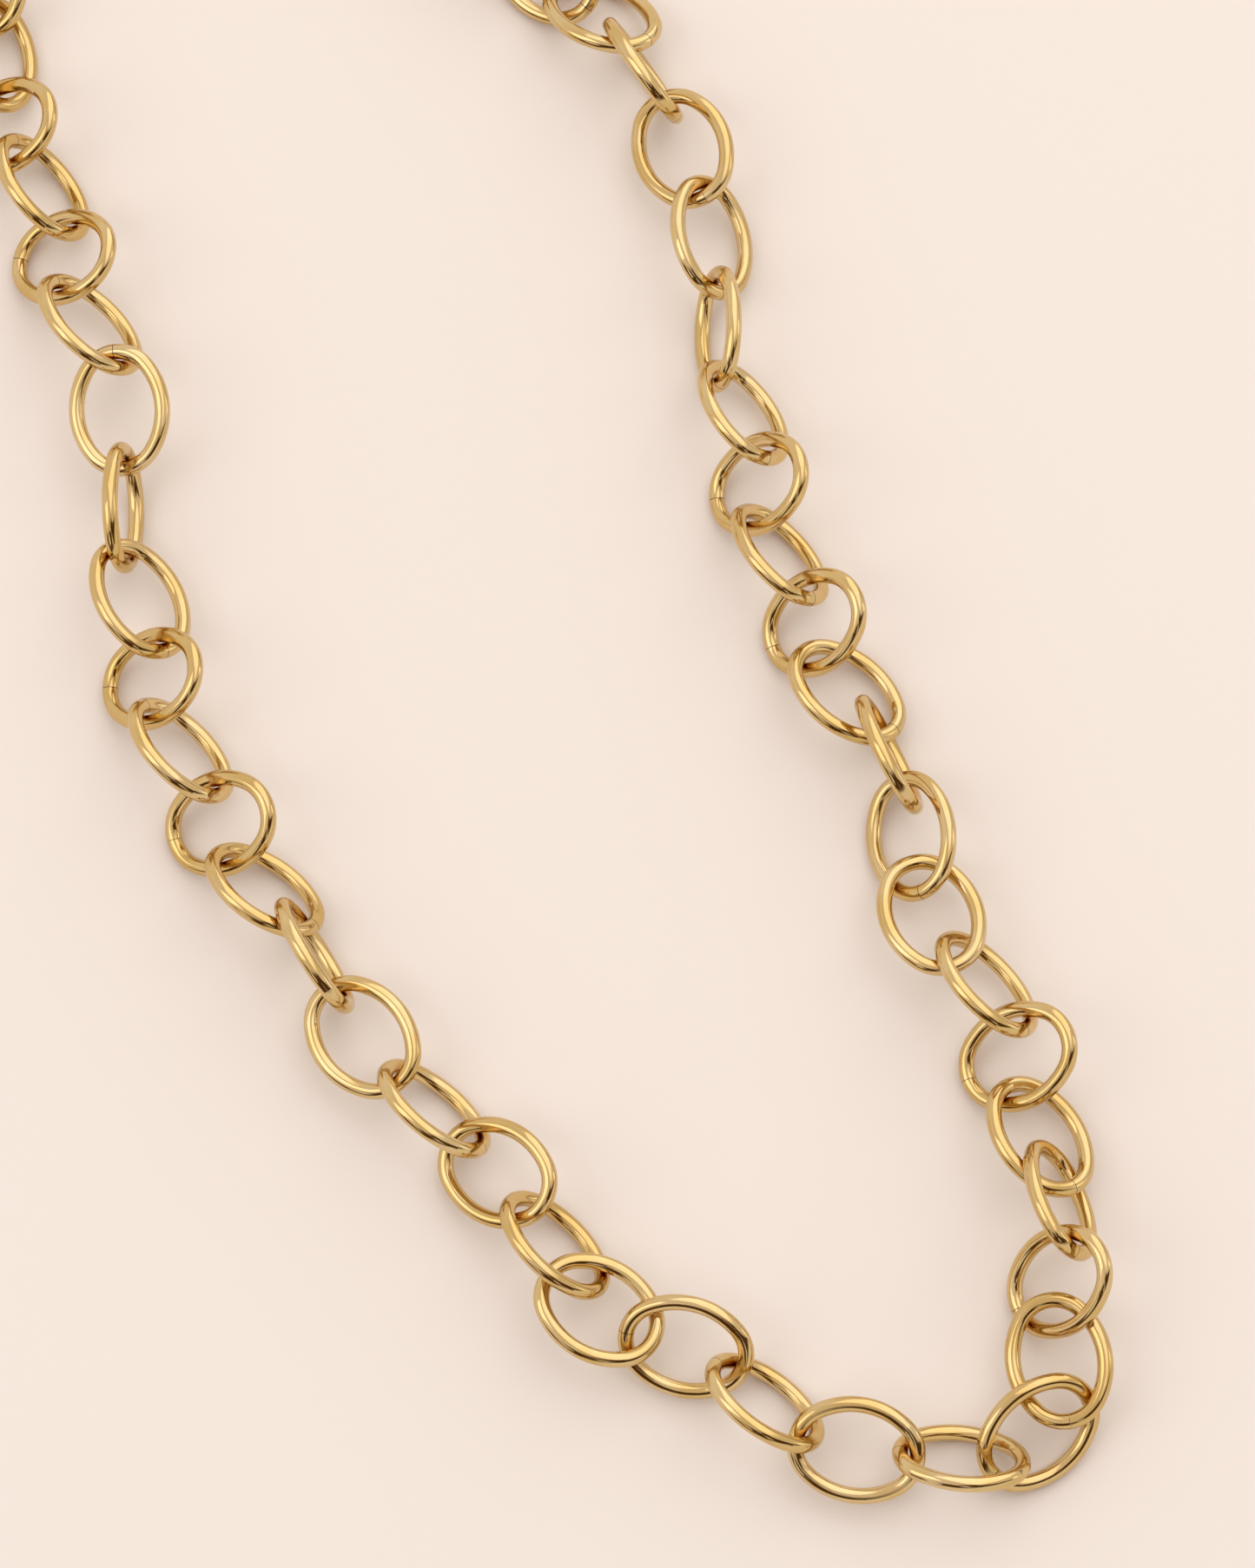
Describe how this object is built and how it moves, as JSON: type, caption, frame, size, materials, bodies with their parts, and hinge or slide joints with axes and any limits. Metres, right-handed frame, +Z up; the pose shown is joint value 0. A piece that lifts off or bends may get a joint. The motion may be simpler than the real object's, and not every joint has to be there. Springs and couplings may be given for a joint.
{
  "type": "chain necklace",
  "caption": "Gold-tone cable chain necklace of oval round-wire links with a lobster clasp, lying open in a loose loop.",
  "frame": {"origin": "on the table, under the middle of the necklace's outline", "axes": "+Z up from the table, +Y from the bottom of the loop towards its open end with the clasp, +X to the right"},
  "size_m": [0.115, 0.1928, 0.0099],
  "materials": {
    "chain_gold": "polished",
    "clasp_gold": "polished",
    "spring_steel": "satin"
  },
  "bodies": {
    "link_01": {"link_01": "chain_gold"},
    "link_02": {"link_02": "chain_gold"},
    "link_03": {"link_03": "chain_gold"},
    "link_04": {"link_04": "chain_gold"},
    "link_05": {"link_05": "chain_gold"},
    "link_06": {"link_06": "chain_gold"},
    "link_07": {"link_07": "chain_gold"},
    "link_08": {"link_08": "chain_gold"},
    "link_09": {"link_09": "chain_gold"},
    "link_10": {"link_10": "chain_gold"},
    "link_11": {"link_11": "chain_gold"},
    "link_12": {"link_12": "chain_gold"},
    "link_13": {"link_13": "chain_gold"},
    "link_14": {"link_14": "chain_gold"},
    "link_15": {"link_15": "chain_gold"},
    "link_16": {"link_16": "chain_gold"},
    "link_17": {"link_17": "chain_gold"},
    "link_18": {"link_18": "chain_gold"},
    "link_19": {"link_19": "chain_gold"},
    "link_20": {"link_20": "chain_gold"},
    "link_21": {"link_21": "chain_gold"},
    "link_22": {"link_22": "chain_gold"},
    "link_23": {"link_23": "chain_gold"},
    "link_24": {"link_24": "chain_gold"},
    "link_25": {"link_25": "chain_gold"},
    "link_26": {"link_26": "chain_gold"},
    "link_27": {"link_27": "chain_gold"},
    "link_28": {"link_28": "chain_gold"},
    "link_29": {"link_29": "chain_gold"},
    "link_30": {"link_30": "chain_gold"},
    "link_31": {"link_31": "chain_gold"},
    "link_32": {"link_32": "chain_gold"},
    "link_33": {"link_33": "chain_gold"},
    "link_34": {"link_34": "chain_gold"},
    "link_35": {"link_35": "chain_gold"},
    "link_36": {"link_36": "chain_gold"},
    "link_37": {"link_37": "chain_gold"},
    "link_38": {"link_38": "chain_gold"},
    "link_39": {"link_39": "chain_gold"},
    "link_40": {"link_40": "chain_gold"},
    "link_41": {"link_41": "chain_gold"},
    "link_42": {"link_42": "chain_gold"},
    "link_43": {"link_43": "chain_gold"},
    "link_44": {"link_44": "chain_gold"},
    "link_45": {"link_45": "chain_gold"},
    "link_46": {"link_46": "chain_gold"},
    "link_47": {"link_47": "chain_gold"},
    "link_48": {"link_48": "chain_gold"},
    "link_49": {"link_49": "chain_gold"},
    "link_50": {"link_50": "chain_gold"},
    "jump_ring": {"jump_ring": "chain_gold"},
    "clasp": {"clasp_body": "clasp_gold", "clasp_pin": "clasp_gold", "clasp_spring": "spring_steel"},
    "lever": {"clasp_lever": "clasp_gold"}
  },
  "joints": [
    {"name": "swing_25", "type": "hinge", "parent": "link_24", "child": "link_25", "pos_m": [0.03944, -0.09147, 0.00408], "axis": [-0.1835, 0.929, 0.3214], "range_deg": [-30, 30]},
    {"name": "swing_26", "type": "hinge", "parent": "link_25", "child": "link_26", "pos_m": [0.04697, -0.09054, 0.00138], "axis": [-0.8533, 0.3776, -0.3596], "range_deg": [-30, 30]},
    {"name": "swing_27", "type": "hinge", "parent": "link_26", "child": "link_27", "pos_m": [0.05531, -0.08685, 0.00304], "axis": [-0.4185, 0.7547, 0.5053], "range_deg": [-30, 5]},
    {"name": "swing_28", "type": "hinge", "parent": "link_27", "child": "link_28", "pos_m": [0.0553, -0.0796, 0.00459], "axis": [-0.6056, 0.7898, -0.0976], "range_deg": [-30, 2.5]},
    {"name": "swing_29", "type": "hinge", "parent": "link_28", "child": "link_29", "pos_m": [0.05408, -0.07221, 0.00774], "axis": [0.7225, -0.2475, 0.6455], "range_deg": [-30, 30]},
    {"name": "swing_30", "type": "hinge", "parent": "link_29", "child": "link_30", "pos_m": [0.05017, -0.06515, 0.00661], "axis": [0.1304, 0.7084, -0.6936], "range_deg": [-30, 2.5]},
    {"name": "swing_31", "type": "hinge", "parent": "link_30", "child": "link_31", "pos_m": [0.04781, -0.05803, 0.00345], "axis": [-0.6413, -0.6027, 0.4749], "range_deg": [-30, 30]},
    {"name": "swing_32", "type": "hinge", "parent": "link_31", "child": "link_32", "pos_m": [0.05001, -0.05079, 0.00571], "axis": [-0.8418, 0.0922, -0.5318], "range_deg": [-30, 30]},
    {"name": "swing_33", "type": "hinge", "parent": "link_32", "child": "link_33", "pos_m": [0.04232, -0.04598, 0.00686], "axis": [0.1312, -0.814, 0.5658], "range_deg": [-10, 30]},
    {"name": "swing_34", "type": "hinge", "parent": "link_33", "child": "link_34", "pos_m": [0.0377, -0.03771, 0.00349], "axis": [0.5366, 0.821, -0.1952], "range_deg": [-30, 12.5]},
    {"name": "swing_35", "type": "hinge", "parent": "link_34", "child": "link_35", "pos_m": [0.03855, -0.0282, 0.00275], "axis": [0.7584, 0.2343, 0.6083], "range_deg": [-30, 30]},
    {"name": "swing_36", "type": "hinge", "parent": "link_35", "child": "link_36", "pos_m": [0.03716, -0.02301, 0.00123], "axis": [0.4805, -0.8007, -0.3577], "range_deg": [-22.5, 30]},
    {"name": "swing_37", "type": "hinge", "parent": "link_36", "child": "link_37", "pos_m": [0.02916, -0.01633, 0.0037], "axis": [-0.4308, -0.7799, 0.4541], "range_deg": [-30, 30]},
    {"name": "swing_38", "type": "hinge", "parent": "link_37", "child": "link_38", "pos_m": [0.02985, -0.00902, 0.00536], "axis": [-0.717, -0.1129, -0.6879], "range_deg": [-30, 30]},
    {"name": "swing_39", "type": "hinge", "parent": "link_38", "child": "link_39", "pos_m": [0.02385, -0.00207, 0.00389], "axis": [-0.4142, -0.5052, 0.7571], "range_deg": [-30, 30]},
    {"name": "swing_40", "type": "hinge", "parent": "link_39", "child": "link_40", "pos_m": [0.0266, 0.00454, 0.00638], "axis": [-0.6851, 0.2503, -0.6841], "range_deg": [-30, 30]},
    {"name": "swing_41", "type": "hinge", "parent": "link_40", "child": "link_41", "pos_m": [0.02038, 0.01114, 0.00565], "axis": [-0.1337, -0.7724, 0.6209], "range_deg": [-30, 2.5]},
    {"name": "swing_42", "type": "hinge", "parent": "link_41", "child": "link_42", "pos_m": [0.02128, 0.02169, 0.00388], "axis": [-0.3327, -0.1829, -0.9251], "range_deg": [-30, 30]},
    {"name": "swing_43", "type": "hinge", "parent": "link_42", "child": "link_43", "pos_m": [0.01929, 0.03092, 0.00488], "axis": [-0.645, -0.489, 0.5872], "range_deg": [-27.5, 30]},
    {"name": "swing_44", "type": "hinge", "parent": "link_43", "child": "link_44", "pos_m": [0.01671, 0.0403, 0.00357], "axis": [-0.9248, -0.2022, -0.3223], "range_deg": [-30, 30]},
    {"name": "swing_45", "type": "hinge", "parent": "link_44", "child": "link_45", "pos_m": [0.01129, 0.0464, 0.00675], "axis": [0.1697, -0.6229, 0.7636], "range_deg": [-25, 30]},
    {"name": "swing_46", "type": "hinge", "parent": "link_45", "child": "link_46", "pos_m": [0.0053, 0.05066, 0.00285], "axis": [0.0424, 0.8499, -0.5253], "range_deg": [-30, 30]},
    {"name": "swing_47", "type": "hinge", "parent": "link_46", "child": "link_47", "pos_m": [0.00202, 0.05877, 0.0036], "axis": [0.847, 0.2718, 0.4568], "range_deg": [-30, 30]},
    {"name": "swing_48", "type": "hinge", "parent": "link_47", "child": "link_48", "pos_m": [-0.00371, 0.0638, 0.00217], "axis": [0.8552, 0.1481, -0.4967], "range_deg": [-30, 30]},
    {"name": "swing_49", "type": "hinge", "parent": "link_48", "child": "link_49", "pos_m": [-0.00821, 0.07001, 0.00419], "axis": [0.9216, -0.1968, 0.3346], "range_deg": [-30, 30]},
    {"name": "swing_50", "type": "hinge", "parent": "link_49", "child": "link_50", "pos_m": [-0.01292, 0.07581, 0.00152], "axis": [0.8883, -0.3138, -0.3352], "range_deg": [-30, 30]},
    {"name": "swing_23", "type": "hinge", "parent": "link_24", "child": "link_23", "pos_m": [0.02837, -0.09044, 0.00375], "axis": [0.2315, 0.911, 0.3412], "range_deg": [-30, 30]},
    {"name": "swing_22", "type": "hinge", "parent": "link_23", "child": "link_22", "pos_m": [0.0228, -0.08324, 0.00212], "axis": [0.8321, -0.0633, -0.551], "range_deg": [-30, 30]},
    {"name": "swing_21", "type": "hinge", "parent": "link_22", "child": "link_21", "pos_m": [0.01492, -0.07862, 0.00505], "axis": [0.9148, 0.2789, 0.2922], "range_deg": [-30, 2.5]},
    {"name": "swing_20", "type": "hinge", "parent": "link_21", "child": "link_20", "pos_m": [0.01102, -0.07455, 0.00376], "axis": [0.9446, -0.3076, -0.1141], "range_deg": [-30, 12.5]},
    {"name": "swing_19", "type": "hinge", "parent": "link_20", "child": "link_19", "pos_m": [0.0019, -0.0693, 0.00507], "axis": [-0.2085, -0.6621, 0.7198], "range_deg": [-30, 30]},
    {"name": "swing_18", "type": "hinge", "parent": "link_19", "child": "link_18", "pos_m": [-0.00126, -0.06146, 0.00365], "axis": [-0.8808, -0.0983, -0.4633], "range_deg": [-30, 30]},
    {"name": "swing_17", "type": "hinge", "parent": "link_18", "child": "link_17", "pos_m": [-0.0095, -0.05648, 0.00474], "axis": [-0.2489, -0.536, 0.8067], "range_deg": [-30, 30]},
    {"name": "swing_16", "type": "hinge", "parent": "link_17", "child": "link_16", "pos_m": [-0.01409, -0.04807, 0.00368], "axis": [-0.9437, -0.2431, -0.2244], "range_deg": [-30, 30]},
    {"name": "swing_15", "type": "hinge", "parent": "link_16", "child": "link_15", "pos_m": [-0.01923, -0.04192, 0.00719], "axis": [0.2197, -0.6916, 0.6881], "range_deg": [-2.5, 30]},
    {"name": "swing_14", "type": "hinge", "parent": "link_15", "child": "link_14", "pos_m": [-0.02545, -0.03539, 0.00366], "axis": [0.5153, 0.4898, -0.7032], "range_deg": [-30, 30]},
    {"name": "swing_13", "type": "hinge", "parent": "link_14", "child": "link_13", "pos_m": [-0.02597, -0.02857, 0.00515], "axis": [0.8304, 0.0419, 0.5556], "range_deg": [-30, 30]},
    {"name": "swing_12", "type": "hinge", "parent": "link_13", "child": "link_12", "pos_m": [-0.03296, -0.02144, 0.00476], "axis": [0.4697, 0.4397, -0.7656], "range_deg": [-30, 30]},
    {"name": "swing_11", "type": "hinge", "parent": "link_12", "child": "link_11", "pos_m": [-0.03115, -0.01454, 0.00539], "axis": [0.7544, -0.1736, 0.633], "range_deg": [-30, 30]},
    {"name": "swing_10", "type": "hinge", "parent": "link_11", "child": "link_10", "pos_m": [-0.0369, -0.0067, 0.00571], "axis": [0.465, 0.7348, -0.4937], "range_deg": [0, 30]},
    {"name": "swing_09", "type": "hinge", "parent": "link_10", "child": "link_09", "pos_m": [-0.0351, 0.00377, 0.0043], "axis": [-0.2048, 0.1736, 0.9633], "range_deg": [-30, 30]},
    {"name": "swing_08", "type": "hinge", "parent": "link_09", "child": "link_08", "pos_m": [-0.03586, 0.01327, 0.00657], "axis": [-0.9812, 0.0535, -0.1855], "range_deg": [-12.5, 30]},
    {"name": "swing_07", "type": "hinge", "parent": "link_08", "child": "link_07", "pos_m": [-0.04198, 0.02099, 0.0048], "axis": [-0.635, -0.2614, 0.7269], "range_deg": [-30, 30]},
    {"name": "swing_06", "type": "hinge", "parent": "link_07", "child": "link_06", "pos_m": [-0.04067, 0.02784, 0.00416], "axis": [-0.8002, 0.1765, -0.5732], "range_deg": [-30, 30]},
    {"name": "swing_05", "type": "hinge", "parent": "link_06", "child": "link_05", "pos_m": [-0.0477, 0.03366, 0.00609], "axis": [0.0555, -0.8686, 0.4924], "range_deg": [-30, 30]},
    {"name": "swing_04", "type": "hinge", "parent": "link_05", "child": "link_04", "pos_m": [-0.04838, 0.04129, 0.00343], "axis": [-0.8112, -0.1392, -0.568], "range_deg": [-30, 30]},
    {"name": "swing_03", "type": "hinge", "parent": "link_04", "child": "link_03", "pos_m": [-0.04747, 0.0494, 0.00153], "axis": [-0.5658, 0.7421, 0.3594], "range_deg": [-30, 30]},
    {"name": "swing_02", "type": "hinge", "parent": "link_03", "child": "link_02", "pos_m": [-0.04832, 0.05763, 0.00433], "axis": [-0.6394, 0.7112, -0.2922], "range_deg": [-30, 30]},
    {"name": "swing_01", "type": "hinge", "parent": "link_02", "child": "link_01", "pos_m": [-0.05105, 0.06664, 0.00249], "axis": [-0.8174, 0.2032, 0.539], "range_deg": [-30, 30]},
    {"name": "ring_swing", "type": "hinge", "parent": "link_50", "child": "jump_ring", "pos_m": [-0.02025, 0.08176, 0.00281], "axis": [-0.7953, -0.4407, -0.4162], "range_deg": [-30, 30]},
    {"name": "clasp_swing", "type": "hinge", "parent": "jump_ring", "child": "clasp", "pos_m": [-0.02275, 0.08489, 0.00196], "axis": [-0.626, 0.0469, 0.7784], "range_deg": [-30, 30]},
    {"name": "lever_turn", "type": "hinge", "parent": "clasp", "child": "lever", "pos_m": [-0.02681, 0.08787, 0.0018], "axis": [0, 0, -1], "range_deg": [0, 25], "stiffness_Nm_per_rad": 0.002, "springref_deg": -11.46}
  ]
}
